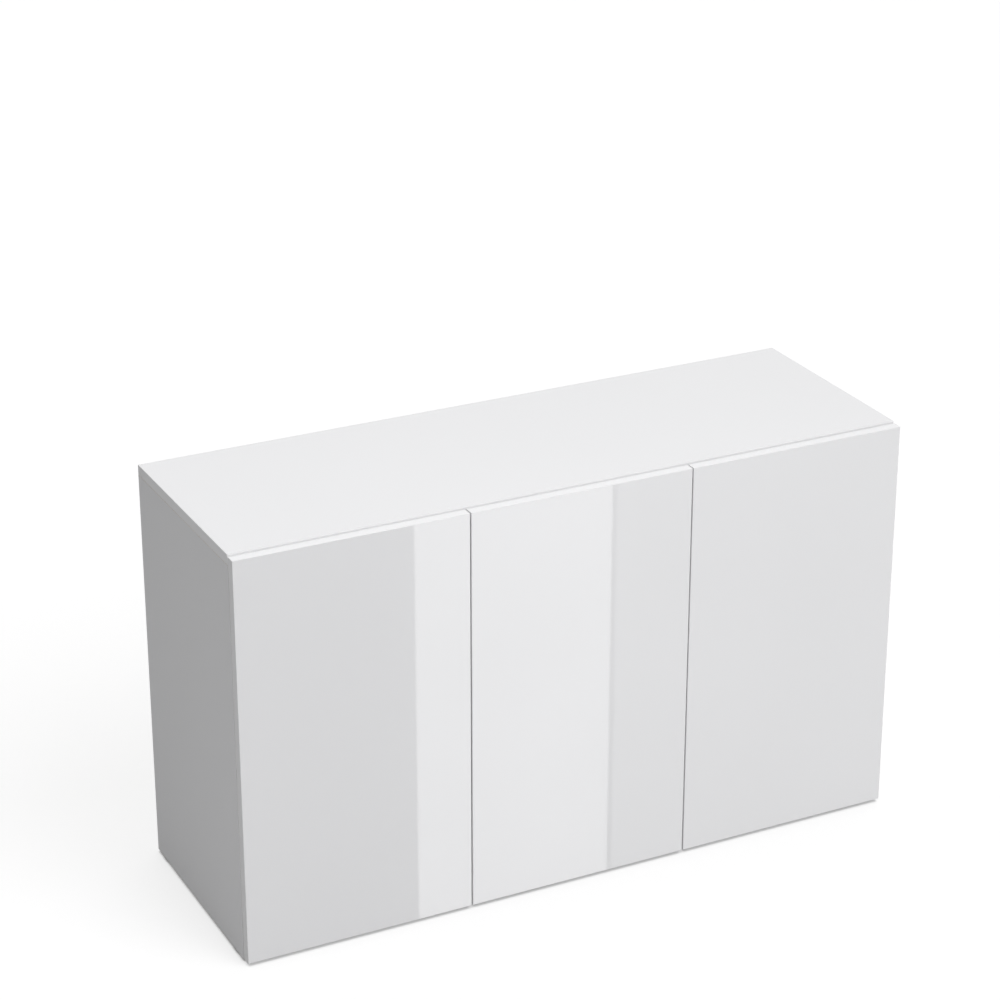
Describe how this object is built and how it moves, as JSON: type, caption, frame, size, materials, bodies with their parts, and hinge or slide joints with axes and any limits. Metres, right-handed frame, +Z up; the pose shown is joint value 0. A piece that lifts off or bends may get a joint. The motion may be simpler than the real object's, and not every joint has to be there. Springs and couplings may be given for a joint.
{
  "type": "aquarium stand cabinet",
  "caption": "Low white cabinet that carries an aquarium, with handleless push-to-open doors, shelves and an open back for hoses.",
  "frame": {"origin": "at floor level, under the middle of the whole cabinet, doors included", "axes": "+X to the right along the front, +Y from the doors to the back, +Z up"},
  "size_m": [1.2, 0.41, 0.72],
  "materials": {
    "gloss_white_board": "high-gloss white lacquered face on an MDF core",
    "melamine_white_board": "fine-textured white melamine on chipboard, white edge strips",
    "white_hardboard": "white lacquered hardboard",
    "nickel_plated_steel": "bright nickel plate",
    "spring_steel": "bright drawn wire",
    "zinc_alloy": "dull die-cast zinc",
    "white_plastic": "satin moulded",
    "grey_plastic": "satin moulded",
    "dark_plastic": "satin moulded, magnet tip",
    "beech_dowel": "raw fluted beech"
  },
  "bodies": {
    "carcass": {"top_panel": "gloss_white_board", "side_left": "gloss_white_board", "side_right": "gloss_white_board", "partition_left": "melamine_white_board", "partition_right": "melamine_white_board", "bottom_panel": "melamine_white_board", "plinth_front": "melamine_white_board", "plinth_rear": "melamine_white_board", "plinth_cross_left": "melamine_white_board", "plinth_cross_right": "melamine_white_board", "back_left": "white_hardboard", "back_right": "white_hardboard", "rear_rail_top": "melamine_white_board", "rear_rail_bottom": "melamine_white_board", "shelf_left": "melamine_white_board", "shelf_right": "melamine_white_board", "shelf_pins": "nickel_plated_steel", "hinge_arms": "nickel_plated_steel", "hinge_plates": "nickel_plated_steel", "link_pins": "nickel_plated_steel", "plate_screws": "nickel_plated_steel", "arm_screws": "nickel_plated_steel", "latch_cartridges": "grey_plastic", "latch_holders": "white_plastic", "latch_springs": "spring_steel", "latch_screws": "nickel_plated_steel", "hose_rings": "white_plastic", "cam_locks": "zinc_alloy", "cam_bolts": "zinc_alloy", "cam_caps": "white_plastic", "dowels": "beech_dowel", "back_screws": "nickel_plated_steel", "plinth_screws": "zinc_alloy", "glides": "grey_plastic", "glide_nails": "spring_steel"},
    "left_door": {"door_left": "gloss_white_board", "hinge_cups_left": "nickel_plated_steel", "cup_screws_left": "nickel_plated_steel", "strike_left": "nickel_plated_steel", "bumpers_left": "white_plastic"},
    "left_links": {"hinge_links_left": "nickel_plated_steel"},
    "left_plunger": {"plunger_left": "dark_plastic"},
    "middle_door": {"door_middle": "gloss_white_board", "hinge_cups_middle": "nickel_plated_steel", "cup_screws_middle": "nickel_plated_steel", "strike_middle": "nickel_plated_steel", "bumpers_middle": "white_plastic"},
    "middle_links": {"hinge_links_middle": "nickel_plated_steel"},
    "middle_plunger": {"plunger_middle": "dark_plastic"},
    "right_door": {"door_right": "gloss_white_board", "hinge_cups_right": "nickel_plated_steel", "cup_screws_right": "nickel_plated_steel", "strike_right": "nickel_plated_steel", "bumpers_right": "white_plastic"},
    "right_links": {"hinge_links_right": "nickel_plated_steel"},
    "right_plunger": {"plunger_right": "dark_plastic"}
  },
  "joints": [
    {"name": "left_door_hinge", "type": "hinge", "parent": "carcass", "child": "left_door", "pos_m": [-0.595, -0.2, 0.36], "axis": [0, 0, -1], "range_deg": [0, 98]},
    {"name": "left_link_turn", "type": "hinge", "parent": "carcass", "child": "left_links", "pos_m": [-0.5785, -0.194, 0.36], "axis": [0, 0, -1], "range_deg": [0, 113]},
    {"name": "left_plunger_slide", "type": "slide", "parent": "carcass", "child": "left_plunger", "axis": [0, -1, 0], "range_m": [0, 0.0201]},
    {"name": "middle_door_hinge", "type": "hinge", "parent": "carcass", "child": "middle_door", "pos_m": [-0.19433, -0.2, 0.36], "axis": [0, 0, -1], "range_deg": [0, 98]},
    {"name": "middle_link_turn", "type": "hinge", "parent": "carcass", "child": "middle_links", "pos_m": [-0.17783, -0.194, 0.36], "axis": [0, 0, -1], "range_deg": [0, 113]},
    {"name": "middle_plunger_slide", "type": "slide", "parent": "carcass", "child": "middle_plunger", "axis": [0, -1, 0], "range_m": [0, 0.0201]},
    {"name": "right_door_hinge", "type": "hinge", "parent": "carcass", "child": "right_door", "pos_m": [0.595, -0.2, 0.36], "axis": [0, 0, 1], "range_deg": [0, 98]},
    {"name": "right_link_turn", "type": "hinge", "parent": "carcass", "child": "right_links", "pos_m": [0.5785, -0.194, 0.36], "axis": [0, 0, 1], "range_deg": [0, 113]},
    {"name": "right_plunger_slide", "type": "slide", "parent": "carcass", "child": "right_plunger", "axis": [0, -1, 0], "range_m": [0, 0.0201]}
  ],
  "couplings": [
    {"joint": "left_link_turn", "follows": "left_door_hinge", "ratio": 1.15},
    {"joint": "left_plunger_slide", "follows": "left_door_hinge", "m_per_rad": 0.0117},
    {"joint": "middle_link_turn", "follows": "middle_door_hinge", "ratio": 1.15},
    {"joint": "middle_plunger_slide", "follows": "middle_door_hinge", "m_per_rad": 0.0117},
    {"joint": "right_link_turn", "follows": "right_door_hinge", "ratio": 1.15},
    {"joint": "right_plunger_slide", "follows": "right_door_hinge", "m_per_rad": 0.0117}
  ]
}
